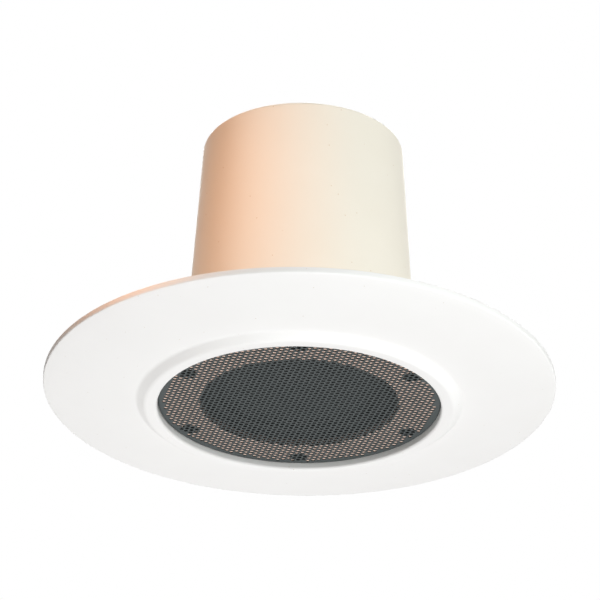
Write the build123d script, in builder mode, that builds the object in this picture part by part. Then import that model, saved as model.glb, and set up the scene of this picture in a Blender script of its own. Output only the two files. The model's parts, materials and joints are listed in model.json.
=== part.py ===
from build123d import *
import os
from math import asin, cos, degrees, hypot, pi, radians, sin, tan

# In-ceiling speaker: white bezel with a perforated grille, a cone driver on its ledge and a tapered back can.
# Origin on the axis at the ceiling's face, which the back of the rim meets. +Z goes up into the ceiling void.

# Driver, the bought-in size that the can and the opening are built around
driver_d = 104.0
driver_land = 5.4            # frame flange that overlaps the baffle ledge
driver_screw_inset = 2.4     # driver screw axis in from the frame's edge
frame_t = 1.0
frame_bend = 1.0
seat_step = 2.8              # surround seat behind the mounting flange
seat_w = 3.2
basket_slope_w = 5.4         # surround seat to spider shoulder
basket_depth = 15.5          # mounting flange to spider shoulder
shoulder_w = 12.5
neck_depth = 7.5             # spider shoulder to top plate seat
magnet_seat_gap = 4.2        # coil to the inner edge of the magnet seat
window_angle = 54.0
window_reach = 3.0           # window cutter past the shoulder's edge
coil_d = 25.6
former_t = 0.3
winding_t = 0.55
winding_h = 9.0
coil_gap = 0.4               # coil to pole and coil to top plate
glue_gap = 0.1
plate_d = 60.0
plate_t = 4.0
magnet_d = 64.0
magnet_bore_d = 34.0
magnet_h = 12.0
yoke_t = 4.0
yoke_round = 1.2
magnet_chamfer = 0.8
pole_proud = 0.5
cone_t = 0.7
cone_bow = 1.0
throat_below_spider = 1.8
surround_t = 0.6
roll_w = 5.0
roll_h = 2.6
roll_crown_inset = 1.0
roll_foot_round = 0.7
roll_crown_round = 1.4
edge_play = 0.2              # roll foot to its land
edge_land = 2.2              # surround's land on the cone
edge_land_fall = 0.8         # its slope against the cone's
spider_t = 0.5
spider_waves = 4
spider_wave_h = 0.9
spider_inset = 7.5           # spider's edge in from the shoulder's edge
spider_neck_w = 1.0          # flat at the coil
spider_wave_start = 2.2      # first wave out from the coil
cap_t = 0.5
cap_sag = 3.8
cap_land = 1.6               # dust cap's overlap on the cone

# Back can
can_h = 126.7                # above the ceiling's face
can_wall = 2.5
can_draft = 3.28
can_top_round = 2.5
can_foot_round = 1.2
can_flange_t = 3.0
driver_side_clear = 1.25
screw_stand = 4.5            # can wall to the axis of the six front screws
flange_margin = 5.8          # front screw axis to the flange's edge
boss_r = 4.6
boss_top = 9.0
boss_web_t = 3.0

# Bezel
bezel_d = 240.0
rim_h = 2.8
rim_land = 3.5
rim_round = 0.8
skin = 2.4
face_drop = 9.2              # ceiling's face to the foot of the collar
face_bulge = 0.8
collar_h = 3.6
crown_w = 6.05
ramp_w = 3.8
ramp_round = 3.0
lip_round = 1.5
throat_step = 0.25
flange_clear = 0.8
spigot_h = 5.0
spigot_step = 0.8
spigot_round = 0.5
web_t = 3.5                  # baffle ledge
rib_count = 12
rib_t = 1.6
rib_drop = 0.6               # ribs stay this far below the ceiling's face

# Grille
grille_recess = 3.3
grille_t = 0.5
grille_skirt_h = 2.3
grille_fit = 0.15
groove_clear = 0.3
grille_round = 0.4
hole_d = 2.0
hole_pitch = 2.74            # along a row
row_angle = 60.0             # stagger from row to row
hole_turn = 13.4             # normal of the rows from +X
hole_margin = 2.0

# Front screws, three for the can and three for the clamps
screw_count = 6
screw_d = 3.9
screw_head_d = 8.0
screw_head_land = 0.2
screw_head_recess = 0.2
screw_clear = 0.25
thread_clear = 0.05
can_screw_angle = 30.0
can_screw_tip = 6.0
recess_l = 4.4
recess_w = 1.0
recess_depth = 1.1

# Ceiling clamps
clamp_angle = 90.0
clamp_count = 3
clamp_tip = 29.5
dog_rest_z = 19.0
dog_h = 9.0
dog_toe_h = 5.5
dog_reach = 24.0
dog_half_w = 4.2
dog_toe_round = 2.5
dog_pocket_w = 4.0
dog_pocket_floor = 2.6
tooth_w = 1.4
tooth_h = 0.8
tooth_pitch = 3.0
tooth_count = 4
stop_clear = 0.4
fin_t = 2.2
fin_top = 29.5
fin_chamfer = 4.0
washer_d = 6.4
washer_t = 0.8
washer_lift = 0.2

# Gaskets and small screws
gasket_t = 1.0
gasket_edge = 0.9
small_screw_d = 2.8
small_head_d = 5.2
small_head_h = 2.0
small_hole_clear = 0.4
driver_pilot_depth = 2.9
tip_clear = 0.2

# Terminal block on the can's top
block_pitch = 9.5
block_w = 16.0
block_base_h = 4.5
block_h = 12.0
barrier_t = 2.0
barrier_inset = 0.8
block_round = 0.8
ear_l = 8.0
ear_boss_r = 3.2
ear_boss_l = 6.0
plate_w = 6.4
plate_l = 12.0
plate_thick = 0.8
tail_w = 3.0
tail_y = 4.5
tail_drop = 6.0              # tail below the can's top wall
tail_clear = 0.2
clamp_head_d = 6.0
clamp_head_h = 2.2
clamp_shank_d = 3.4
clamp_shank_l = 4.0

# Tag board on the driver and the leads to it
board_angle = 45.0
board_l = 26.0
board_w = 10.0
board_t = 1.6
board_round = 1.5
rivet_inset = 4.7            # rivet in from the shoulder's edge
tag_w = 4.8
tag_t = 0.5
tag_l = 14.0
tag_round = 1.2
tag_setback = 1.0            # tag's end in from the board's edge
tag_offset = 8.0
tag_hole_d = 1.6
rivet_d = 3.0
rivet_head_d = 4.6
rivet_head_h = 0.8
eyelet_d = 2.3
eyelet_head_d = 4.0
eyelet_head_h = 0.5
eyelet_shift = 1.0           # eyelets inward of the rivet
lead_d = 1.8
lead_bend_share = 0.45       # of the shorter run, taken by each bend

# Levels, from the ceiling's face
foot_z = -face_drop
crown_z = foot_z - collar_h
grille_front = crown_z + grille_recess
web_front = grille_front + grille_t
web_back = web_front + web_t
flange_bottom = web_back + gasket_t
flange_top = flange_bottom + can_flange_t
can_ceiling = can_h - can_wall
frame_front = flange_bottom
frame_back = frame_front + frame_t
shoulder_front = frame_front + basket_depth
shoulder_back = shoulder_front + frame_t
plate_z = shoulder_front + neck_depth + frame_t
magnet_z = plate_z + plate_t
yoke_z = magnet_z + magnet_h
cone_throat_z = shoulder_front - throat_below_spider

# Radii, from the driver outwards
driver_r = driver_d / 2
hole_r = driver_r - driver_land
draft_slope = tan(radians(can_draft))
can_mouth_r = driver_r + driver_side_clear
can_base_r = can_mouth_r + can_wall + flange_bottom * draft_slope
can_top_r = can_base_r - can_h * draft_slope
screw_circle_r = can_base_r + screw_stand
flange_r = screw_circle_r + flange_margin
spigot_in_r = flange_r + flange_clear
spigot_r = spigot_in_r + skin
opening_r = spigot_in_r - throat_step
crown_r = opening_r + crown_w
foot_r = crown_r + ramp_w
rim_r = bezel_d / 2
land_r = rim_r - rim_land
throat_r = spigot_r + spigot_step
grille_r = opening_r - grille_fit
groove_in_r = grille_r - grille_t - groove_clear
driver_screw_r = driver_r - driver_screw_inset
screw_r = screw_d / 2
screw_head_r = screw_head_d / 2
coil_r = coil_d / 2


def can_radius(z):
    # Outer radius of the can's tapered wall at height z
    return can_base_r - z * draft_slope


def around(radius, angle, z=0.0):
    # A point on a circle about the axis
    return (radius * cos(radians(angle)), radius * sin(radians(angle)), z)


def export(piece, name):
    piece.part.label = name
    export_step(piece.part, f"parts/{name}.step")


os.makedirs("parts", exist_ok=True)


# Bezel: rim, domed face, collar, throat with the grille groove, baffle ledge and ceiling spigot
groove_top = grille_front + grille_skirt_h + groove_clear
rib_foot_r = foot_r - skin / 2
with BuildPart() as face_rib:
    with BuildSketch(Plane.XZ):
        with BuildLine():
            Polyline(
                (throat_r - skin / 2, -rib_drop),
                (land_r + rim_land / 4, -rib_drop),
                (land_r + rim_land / 4, -rim_h + skin / 4),
                (rib_foot_r, foot_z + skin / 2),
                (crown_r - skin / 2, crown_z + skin / 2),
                (throat_r - skin / 2, crown_z + skin / 2),
                close=True,
            )
        make_face()
    extrude(amount=rib_t / 2, both=True)

with BuildPart() as bezel:
    with BuildSketch(Plane.XZ) as bezel_section:
        with BuildLine():
            face_mid = ((rim_r + foot_r) / 2, (foot_z - rim_h) / 2 - face_bulge)
            back_start = (land_r, -rim_h + skin * 0.75)
            back_end = (foot_r - skin / 3, foot_z + skin)
            back_mid = ((back_start[0] + back_end[0]) / 2, (back_start[1] + back_end[1]) / 2 - face_bulge)
            Polyline(back_start, (land_r, 0), (rim_r, 0), (rim_r, -rim_h))
            ThreePointArc((rim_r, -rim_h), face_mid, (foot_r, foot_z))
            Polyline(
                (foot_r, foot_z),
                (crown_r, crown_z),
                (opening_r, crown_z),
                (opening_r, groove_top),
                (groove_in_r, groove_top),
                (groove_in_r, web_front),
                (hole_r, web_front),
                (hole_r, web_back),
                (spigot_in_r, web_back),
                (spigot_in_r, spigot_h),
                (spigot_r, spigot_h),
                (spigot_r, 0),
                (throat_r, 0),
                (throat_r, crown_z + skin),
                (crown_r - skin / 3, crown_z + skin),
                back_end,
            )
            ThreePointArc(back_end, back_mid, back_start)
        make_face()
        rounds = {
            (rim_r, -rim_h): rim_round,
            (foot_r, foot_z): ramp_round,
            (crown_r, crown_z): ramp_round,
            (opening_r, crown_z): lip_round,
            (spigot_r, spigot_h): spigot_round,
        }
        for corner, radius in rounds.items():
            fillet(bezel_section.vertices().sort_by_distance(corner)[0], radius=radius)
    revolve(axis=Axis.Z)
    with PolarLocations(0, rib_count, start_angle=180 / rib_count):
        add(face_rib.part)
    with Locations(Plane(origin=(0, 0, web_front), x_dir=(1, 0, 0), z_dir=(0, 0, -1))):
        with PolarLocations(screw_circle_r, screw_count, start_angle=can_screw_angle):
            CounterSinkHole(
                radius=screw_r + screw_clear,
                counter_sink_radius=screw_head_r + screw_head_land + screw_head_recess + screw_clear,
                depth=web_t,
                counter_sink_angle=90,
            )
    with Locations(Plane.XY.offset(web_back)):
        with PolarLocations(driver_screw_r, 4, start_angle=45):
            Hole(radius=small_screw_d / 2 + thread_clear, depth=driver_pilot_depth)
export(bezel, "bezel")


# Grille: pressed sheet with a turned-up skirt and round holes in staggered rows
field_r = groove_in_r - hole_margin
row_pitch = hole_pitch * sin(radians(row_angle))
rows = int(field_r / row_pitch)
runs = int(field_r / hole_pitch) + 1
hole_places = [
    (row * row_pitch, (run + row % 2 / 2) * hole_pitch)
    for row in range(-rows, rows + 1)
    for run in range(-runs, runs + 1)
]
grille_plane = Plane(origin=(0, 0, grille_front), x_dir=around(1, hole_turn), z_dir=(0, 0, 1))
holes = [
    Wire.make_circle(hole_d / 2, Plane(grille_plane.from_local_coords((x, y, 0))))
    for x, y in hole_places
    if hypot(x, y) + hole_d / 2 < field_r
]
sheet = Face(Wire.make_circle(groove_in_r, grille_plane), holes)
with BuildPart() as grille:
    extrude(sheet, amount=grille_t)
    with BuildSketch(Plane.XZ) as skirt_section:
        with BuildLine():
            Polyline(
                (groove_in_r, grille_front),
                (grille_r, grille_front),
                (grille_r, grille_front + grille_skirt_h),
                (grille_r - grille_t, grille_front + grille_skirt_h),
                (grille_r - grille_t, web_front),
                (groove_in_r, web_front),
                close=True,
            )
        make_face()
        fillet(skirt_section.vertices().sort_by_distance((grille_r, grille_front))[0], radius=grille_round)
    revolve(axis=Axis.Z)
export(grille, "grille")


# Back can: tapered pot with a foot flange, three screw bosses, three clamp fins and the terminal seat
block_ear_x = block_pitch + barrier_t / 2 + ear_l / 2
with BuildPart() as clamp_fin:
    fin_inner = dog_half_w + stop_clear
    with BuildSketch(Plane.XZ.offset(-fin_inner)) as fin_section:
        with BuildLine():
            Polyline(
                (can_radius(flange_bottom) - can_wall / 2, flange_bottom + can_flange_t / 2),
                (flange_r, flange_bottom + can_flange_t / 2),
                (flange_r, fin_top - fin_chamfer),
                (flange_r - fin_chamfer, fin_top),
                (can_radius(fin_top) - can_wall * 0.75, fin_top),
                close=True,
            )
        make_face()
    extrude(amount=-fin_t)

with BuildPart() as can_boss:
    with BuildSketch(Plane.XY.offset(flange_bottom + can_flange_t / 2)):
        with Locations((screw_circle_r, 0)):
            Circle(boss_r)
        with Locations((can_radius(0) - can_wall / 2, 0)):
            Rectangle(screw_stand + can_wall / 2, boss_web_t, align=(Align.MIN, Align.CENTER))
    extrude(amount=boss_top - flange_bottom - can_flange_t / 2)

with BuildPart() as back_can:
    with BuildSketch(Plane.XZ) as can_section:
        with BuildLine():
            Polyline(
                (can_mouth_r, flange_bottom),
                (flange_r, flange_bottom),
                (flange_r, flange_top),
                (can_radius(flange_top), flange_top),
                (can_top_r, can_h),
                (0, can_h),
                (0, can_ceiling),
                (can_radius(can_ceiling) - can_wall, can_ceiling),
                close=True,
            )
        make_face()
        can_rounds = {
            (can_top_r, can_h): can_top_round,
            (can_radius(can_ceiling) - can_wall, can_ceiling): can_top_round / 2,
            (can_radius(flange_top), flange_top): can_foot_round,
        }
        for corner, radius in can_rounds.items():
            fillet(can_section.vertices().sort_by_distance(corner)[0], radius=radius)
    revolve(axis=Axis.Z)
    with PolarLocations(0, clamp_count, start_angle=clamp_angle):
        add(clamp_fin.part)
    with PolarLocations(0, clamp_count, start_angle=can_screw_angle):
        add(can_boss.part)
    with BuildSketch(Plane.XY.offset(can_ceiling)):
        with Locations((-block_ear_x, 0), (block_ear_x, 0)):
            Circle(ear_boss_r)
    extrude(amount=-ear_boss_l)
    with Locations(Plane.XY.offset(flange_top)):
        with PolarLocations(screw_circle_r, clamp_count, start_angle=clamp_angle):
            Hole(radius=screw_r + screw_clear, depth=2 * can_flange_t)
    with Locations(Plane.XY.offset(flange_bottom)):
        with PolarLocations(screw_circle_r, clamp_count, start_angle=can_screw_angle):
            Hole(radius=screw_r + thread_clear, depth=can_screw_tip + tip_clear - flange_bottom)
    with Locations((-block_ear_x, 0, can_h), (block_ear_x, 0, can_h)):
        Hole(radius=small_screw_d / 2 + thread_clear, depth=can_wall + ear_boss_l)
    with BuildSketch(Plane.XY.offset(can_h)):
        with Locations((-block_pitch / 2, tail_y), (block_pitch / 2, tail_y)):
            Rectangle(tail_w + 2 * tail_clear, plate_thick + 2 * tail_clear)
    extrude(amount=-2 * can_wall, mode=Mode.SUBTRACT)
export(back_can, "back_can")


# Foam gasket between the can's flange and the baffle ledge
with BuildPart() as can_gasket:
    with BuildSketch(Plane.XY.offset(web_back)):
        Circle(flange_r)
        Circle(can_mouth_r + gasket_edge, mode=Mode.SUBTRACT)
        with PolarLocations(screw_circle_r, screw_count, start_angle=can_screw_angle):
            Circle(screw_r + 2 * screw_clear, mode=Mode.SUBTRACT)
    extrude(amount=gasket_t)
export(can_gasket, "can_gasket")


# Countersunk front screws: a short one for the can and a long one for the clamps
head_z = web_front + screw_head_recess


def countersunk_section(tip_z):
    # Half section of a countersunk screw that points up to tip_z
    cone_z = head_z + screw_head_land
    return [
        (0, head_z),
        (screw_head_r, head_z),
        (screw_head_r, cone_z),
        (screw_r, cone_z + screw_head_r - screw_r),
        (screw_r, tip_z - screw_r / 3),
        (screw_r * 2 / 3, tip_z),
        (0, tip_z),
    ]


with BuildPart() as head_recess:
    with BuildSketch(Plane.XY.offset(head_z)):
        Rectangle(recess_l, recess_w)
        Rectangle(recess_w, recess_l)
    extrude(amount=recess_depth)

with BuildPart() as can_screw:
    with BuildSketch(Plane.XZ):
        with BuildLine():
            Polyline(*countersunk_section(can_screw_tip), close=True)
        make_face()
    revolve(axis=Axis.Z)
    add(head_recess.part, mode=Mode.SUBTRACT)

with BuildPart() as can_screws:
    with PolarLocations(screw_circle_r, clamp_count, start_angle=can_screw_angle):
        add(can_screw.part)
export(can_screws, "can_screws")

with BuildPart() as clamp_screw:
    with BuildSketch(Plane.XZ):
        with BuildLine():
            Polyline(*countersunk_section(clamp_tip), close=True)
        make_face()
    revolve(axis=Axis.Z)
    add(head_recess.part, mode=Mode.SUBTRACT)

# Retaining washer that keeps a clamp screw from dropping out
with BuildPart() as clamp_washer:
    with BuildSketch(Plane.XY.offset(flange_top + washer_lift)):
        Circle(washer_d / 2)
        Circle(screw_r + thread_clear, mode=Mode.SUBTRACT)
    extrude(amount=washer_t)

# Clamp dog: a hub that runs on the screw and an arm with a toothed toe, modelled along +X
with BuildPart() as clamp_dog:
    with BuildSketch():
        Circle(dog_half_w)
        with BuildSketch(mode=Mode.ADD) as arm_plan:
            Rectangle(dog_reach, 2 * dog_half_w, align=(Align.MIN, Align.CENTER))
            fillet(arm_plan.vertices().group_by(Axis.X)[-1], radius=dog_toe_round)
    extrude(amount=dog_h)
    with BuildSketch(Plane.XZ):
        with BuildLine():
            Polyline(
                (dog_half_w, dog_h),
                (dog_reach, dog_toe_h),
                (dog_reach, dog_h),
                close=True,
            )
        make_face()
    extrude(amount=2 * dog_half_w, both=True, mode=Mode.SUBTRACT)
    with BuildSketch(Plane.XY.offset(dog_pocket_floor)):
        with Locations((dog_half_w, 0)):
            Rectangle(dog_reach - 2 * dog_half_w, dog_pocket_w, align=(Align.MIN, Align.CENTER))
    extrude(amount=dog_h, mode=Mode.SUBTRACT)
    with BuildSketch(Plane.XZ):
        for tooth in range(tooth_count):
            with Locations((dog_reach - (tooth + 1) * tooth_pitch, 0)):
                Polygon((-tooth_w / 2, 0), (0, tooth_h), (tooth_w / 2, 0), align=None)
    extrude(amount=2 * dog_half_w, both=True, mode=Mode.SUBTRACT)
    with Locations((0, 0, dog_h)):
        Hole(radius=screw_r + thread_clear)

for number in range(clamp_count):
    angle = clamp_angle + number * 360 / clamp_count
    with BuildPart() as placed_screw:
        with Locations(Location(around(screw_circle_r, angle), (0, 0, angle))):
            add(clamp_screw.part)
    export(placed_screw, f"clamp_screw_{number + 1}")
    with BuildPart() as placed_washer:
        with Locations(Location(around(screw_circle_r, angle), (0, 0, angle))):
            add(clamp_washer.part)
    export(placed_washer, f"clamp_washer_{number + 1}")
    with BuildPart() as placed_dog:
        with Locations(Location(around(screw_circle_r, angle, dog_rest_z), (0, 0, angle - 90))):
            add(clamp_dog.part)
    export(placed_dog, f"clamp_dog_{number + 1}")


# Driver frame: one pressed sheet with flange, surround seat, windowed basket, spider shoulder and magnet seat
seat_out_r = hole_r - frame_bend
seat_in_r = seat_out_r - seat_w
shoulder_r = seat_in_r - basket_slope_w
neck_r = shoulder_r - shoulder_w
magnet_seat_r = coil_r + magnet_seat_gap
rivet_r = shoulder_r - rivet_inset
flange_mid = frame_front + frame_t / 2
seat_mid = flange_mid + seat_step
shoulder_mid = shoulder_front + frame_t / 2
with BuildPart() as basket_window:
    with BuildSketch(Plane.XZ):
        with BuildLine():
            Polyline(
                (shoulder_r - window_reach, seat_mid + 2 * frame_t),
                (driver_r, seat_mid + 2 * frame_t),
                (driver_r, shoulder_front - 1.5 * frame_t),
                (shoulder_r - window_reach, shoulder_front - 1.5 * frame_t),
                close=True,
            )
        make_face()
    revolve(axis=Axis.Z, revolution_arc=window_angle)

with BuildPart() as driver_frame:
    with BuildSketch(Plane.XZ):
        with BuildLine():
            FilletPolyline(
                (driver_r, flange_mid),
                (hole_r - frame_t / 2, flange_mid),
                (seat_out_r, seat_mid),
                (seat_in_r, seat_mid),
                (shoulder_r, shoulder_mid),
                (neck_r, shoulder_mid),
                (neck_r, plate_z - frame_t / 2),
                (magnet_seat_r, plate_z - frame_t / 2),
                radius=frame_bend,
            )
        trace(line_width=frame_t)
    revolve(axis=Axis.Z)
    with PolarLocations(0, 4, start_angle=board_angle + 45 - window_angle / 2):
        add(basket_window.part, mode=Mode.SUBTRACT)
    with Locations(Plane.XY.offset(frame_back)):
        with PolarLocations(driver_screw_r, 4, start_angle=45):
            Hole(radius=small_screw_d / 2 + small_hole_clear, depth=2 * frame_t)
    with Locations(around(rivet_r, board_angle, shoulder_back)):
        Hole(radius=rivet_d / 2 + thread_clear, depth=2 * frame_t)
export(driver_frame, "driver_frame")


# Gasket between the frame's flange and the baffle ledge
with BuildPart() as driver_gasket:
    with BuildSketch(Plane.XY.offset(web_back)):
        Circle(driver_r)
        Circle(hole_r + frame_bend / 2, mode=Mode.SUBTRACT)
        with PolarLocations(driver_screw_r, 4, start_angle=45):
            Circle(small_screw_d / 2 + small_hole_clear, mode=Mode.SUBTRACT)
    extrude(amount=gasket_t)
export(driver_gasket, "driver_gasket")

with BuildPart() as driver_screws:
    with BuildSketch(Plane.XY.offset(frame_back)):
        with PolarLocations(driver_screw_r, 4, start_angle=45):
            Circle(small_head_d / 2)
    extrude(amount=small_head_h)
    fillet(driver_screws.edges().group_by(Axis.Z)[-1], radius=small_head_h / 2)
    with BuildSketch(Plane.XY.offset(frame_back)):
        with PolarLocations(driver_screw_r, 4, start_angle=45):
            Circle(small_screw_d / 2)
    extrude(amount=web_back - driver_pilot_depth + tip_clear - frame_back)
export(driver_screws, "driver_screws")


# Moving assembly: cone, dust cap, coil former and winding
surround_mid = seat_mid - frame_t / 2 - surround_t / 2
cone_edge_r = seat_in_r - roll_w - edge_play
cone_edge_z = surround_mid + surround_t / 2 + cone_t / 2 + glue_gap
cone_throat_r = coil_r + glue_gap + cone_t / 2
with BuildPart() as cone:
    with BuildSketch(Plane.XZ):
        with BuildLine():
            mid_r = (cone_edge_r + cone_throat_r) / 2
            mid_z = (cone_edge_z + cone_throat_z) / 2 - cone_bow
            ThreePointArc((cone_edge_r, cone_edge_z), (mid_r, mid_z), (cone_throat_r, cone_throat_z))
        trace(line_width=cone_t)
    revolve(axis=Axis.Z)
export(cone, "cone")

cap_r = cone_throat_r + cap_land
cone_fall = (cone_throat_z - cone_edge_z) / (cone_edge_r - cone_throat_r)
cap_rim_z = cone_throat_z - cap_land * cone_fall - cone_t - cap_t - glue_gap
cap_sphere_r = (cap_r**2 + cap_sag**2) / (2 * cap_sag)
with BuildPart() as dust_cap:
    with BuildSketch(Plane.XZ):
        with BuildLine():
            CenterArc(
                (0, cap_rim_z - cap_sag + cap_sphere_r),
                cap_sphere_r,
                270,
                degrees(asin(cap_r / cap_sphere_r)),
            )
        trace(line_width=cap_t)
    revolve(axis=Axis.Z)
export(dust_cap, "dust_cap")

winding_mid = plate_z + plate_t / 2
with BuildPart() as coil_former:
    with BuildSketch(Plane.XY.offset(cone_throat_z - cone_t)):
        Circle(coil_r)
        Circle(coil_r - former_t, mode=Mode.SUBTRACT)
    extrude(amount=winding_mid + winding_h / 2 - cone_throat_z + cone_t)
export(coil_former, "coil_former")

with BuildPart() as coil_winding:
    with BuildSketch(Plane.XY.offset(winding_mid - winding_h / 2)):
        Circle(coil_r + thread_clear + winding_t)
        Circle(coil_r + thread_clear, mode=Mode.SUBTRACT)
    extrude(amount=winding_h)
export(coil_winding, "coil_winding")


# Suspension: rolled surround at the cone's edge and corrugated spider at the coil
with BuildPart() as surround:
    with BuildSketch(Plane.XZ):
        with BuildLine():
            FilletPolyline(
                (seat_out_r - frame_bend, surround_mid),
                (seat_in_r + edge_play, surround_mid),
                (seat_in_r - roll_crown_inset, surround_mid - roll_h),
                (cone_edge_r + roll_crown_inset, surround_mid - roll_h),
                (cone_edge_r + edge_play, surround_mid - glue_gap),
                (cone_edge_r - edge_land, surround_mid - glue_gap + edge_land * cone_fall * edge_land_fall),
                radius=[roll_foot_round, roll_crown_round, roll_crown_round, roll_foot_round],
            )
        trace(line_width=surround_t)
    revolve(axis=Axis.Z)
export(surround, "surround")

spider_mid = shoulder_front - spider_t / 2
spider_out_r = shoulder_r - spider_inset
spider_in_r = coil_r + glue_gap
wave_out_r = neck_r - frame_t
wave_in_r = spider_in_r + spider_wave_start
wave_w = (wave_out_r - wave_in_r) / (2 * spider_waves)
with BuildPart() as spider:
    with BuildSketch(Plane.XZ):
        with BuildLine():
            crests = [
                (wave_out_r - step * wave_w, spider_mid - spider_wave_h * (2 - step % 2) + spider_wave_h)
                for step in range(2 * spider_waves + 1)
            ]
            FilletPolyline(
                (spider_out_r, spider_mid),
                (wave_out_r + wave_w, spider_mid),
                *crests,
                (spider_in_r + spider_neck_w, spider_mid),
                (spider_in_r, spider_mid),
                radius=spider_t,
            )
        trace(line_width=spider_t)
    revolve(axis=Axis.Z)
export(spider, "spider")


# Magnet system: top plate, ferrite ring and yoke with its pole
with BuildPart() as top_plate:
    with BuildSketch(Plane.XY.offset(plate_z)):
        Circle(plate_d / 2)
        Circle(coil_r + thread_clear + winding_t + coil_gap, mode=Mode.SUBTRACT)
    extrude(amount=plate_t)
export(top_plate, "top_plate")

with BuildPart() as magnet:
    with BuildSketch(Plane.XY.offset(magnet_z)):
        Circle(magnet_d / 2)
        Circle(magnet_bore_d / 2, mode=Mode.SUBTRACT)
    extrude(amount=magnet_h)
    chamfer(magnet.edges().filter_by(GeomType.CIRCLE), length=magnet_chamfer)
export(magnet, "magnet")

with BuildPart() as yoke:
    with BuildSketch(Plane.XY.offset(yoke_z)):
        Circle(plate_d / 2)
    extrude(amount=yoke_t)
    fillet(yoke.edges().sort_by(Axis.Z)[-1], radius=yoke_round)
    with BuildSketch(Plane.XY.offset(plate_z - pole_proud)):
        Circle(coil_r - former_t - coil_gap)
    extrude(amount=yoke_z - plate_z + pole_proud)
export(yoke, "yoke")


# Tag board on the spider shoulder, in a plane whose X points outwards at board_angle
board_plane = Plane(origin=(0, 0, shoulder_back), x_dir=around(1, board_angle), z_dir=(0, 0, 1))
tag_plane = board_plane.offset(board_t)
tag_start = rivet_r - board_w / 2 + tag_setback
eyelet_r = rivet_r - eyelet_shift
tag_tip = tag_start + tag_l
tag_places = [(tag_start + tag_l / 2, -tag_offset), (tag_start + tag_l / 2, tag_offset)]
eyelet_places = [(eyelet_r, -tag_offset), (eyelet_r, tag_offset)]
with BuildPart() as tag_board:
    with BuildSketch(board_plane):
        with Locations((rivet_r, 0)):
            RectangleRounded(board_w, board_l, board_round)
            Circle(rivet_d / 2 + thread_clear, mode=Mode.SUBTRACT)
        with Locations(*eyelet_places):
            Circle(eyelet_d / 2 + thread_clear, mode=Mode.SUBTRACT)
    extrude(amount=board_t)
export(tag_board, "tag_board")

with BuildPart() as solder_tags:
    with BuildSketch(tag_plane):
        with Locations(*tag_places):
            RectangleRounded(tag_l, tag_w, tag_round)
        with Locations(*eyelet_places):
            Circle(eyelet_d / 2 + thread_clear, mode=Mode.SUBTRACT)
        with Locations((tag_tip - tag_hole_d, -tag_offset), (tag_tip - tag_hole_d, tag_offset)):
            Circle(tag_hole_d / 2, mode=Mode.SUBTRACT)
    extrude(amount=tag_t)
export(solder_tags, "solder_tags")

with BuildPart() as board_rivets:
    with BuildSketch(board_plane):
        with Locations((rivet_r, 0)):
            Circle(rivet_d / 2)
    extrude(amount=-frame_t)
    with BuildSketch(board_plane):
        with Locations((rivet_r, 0)):
            Circle(rivet_d / 2)
    extrude(amount=board_t)
    with BuildSketch(tag_plane):
        with Locations((rivet_r, 0)):
            Circle(rivet_head_d / 2)
    extrude(amount=rivet_head_h)
    with BuildSketch(board_plane.offset(-frame_t)):
        with Locations((rivet_r, 0)):
            Circle(rivet_head_d / 2)
    extrude(amount=-rivet_head_h)
    with BuildSketch(board_plane):
        with Locations(*eyelet_places):
            Circle(eyelet_d / 2)
    extrude(amount=board_t + tag_t)
    with BuildSketch(tag_plane.offset(tag_t)):
        with Locations(*eyelet_places):
            Circle(eyelet_head_d / 2)
    extrude(amount=eyelet_head_h)
export(board_rivets, "board_rivets")


# Terminal block on the can's top: base with ears, three barriers, two plates with tails into the can
poles = [(-block_pitch / 2, 0), (block_pitch / 2, 0)]
ears = [(-block_ear_x, 0), (block_ear_x, 0)]
tails = [(-block_pitch / 2, tail_y), (block_pitch / 2, tail_y)]
plate_floor = can_h + block_base_h
with BuildPart() as terminal_block:
    with BuildSketch(Plane.XY.offset(can_h)):
        Rectangle(2 * block_ear_x + ear_l, block_w / 2)
        Rectangle(2 * block_pitch + barrier_t, block_w)
    extrude(amount=block_base_h)
    fillet(terminal_block.edges().filter_by(Axis.Z), radius=block_round)
    with BuildSketch(Plane.XY.offset(plate_floor)):
        with GridLocations(block_pitch, 1, 3, 1):
            Rectangle(barrier_t, block_w - 2 * barrier_inset)
    extrude(amount=block_h - block_base_h)
    with Locations((ears[0][0], 0, plate_floor), (ears[1][0], 0, plate_floor)):
        Hole(radius=small_screw_d / 2 + small_hole_clear, depth=block_base_h)
    with Locations((poles[0][0], 0, plate_floor), (poles[1][0], 0, plate_floor)):
        Hole(radius=clamp_shank_d / 2 + thread_clear, depth=clamp_shank_l)
    with BuildSketch(Plane.XY.offset(can_h)):
        with Locations(*tails):
            Rectangle(tail_w + 2 * tail_clear, plate_thick + 2 * tail_clear)
    extrude(amount=block_base_h, mode=Mode.SUBTRACT)
export(terminal_block, "terminal_block")

tail_end = can_ceiling - tail_drop
with BuildPart() as terminal_plates:
    with BuildSketch(Plane.XY.offset(plate_floor)):
        with Locations(*poles):
            Rectangle(plate_w, plate_l)
            Circle(clamp_shank_d / 2 + thread_clear, mode=Mode.SUBTRACT)
    extrude(amount=plate_thick)
    with BuildSketch(Plane.XY.offset(plate_floor)):
        with Locations(*tails):
            Rectangle(tail_w, plate_thick)
    extrude(amount=tail_end - plate_floor)
export(terminal_plates, "terminal_plates")

with BuildPart() as terminal_screws:
    with BuildSketch(Plane.XY.offset(plate_floor + plate_thick)):
        with Locations(*poles):
            Circle(clamp_head_d / 2)
    extrude(amount=clamp_head_h)
    fillet(terminal_screws.edges().group_by(Axis.Z)[-1], radius=clamp_head_h / 3)
    with BuildSketch(Plane.XY.offset(plate_floor + plate_thick + clamp_head_h)):
        with Locations(*poles):
            Rectangle(clamp_head_d, recess_w)
    extrude(amount=-recess_depth, mode=Mode.SUBTRACT)
    with BuildSketch(Plane.XY.offset(plate_floor + plate_thick)):
        with Locations(*poles):
            Circle(clamp_shank_d / 2)
    extrude(amount=-clamp_shank_l + tip_clear)
export(terminal_screws, "terminal_screws")

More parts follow.
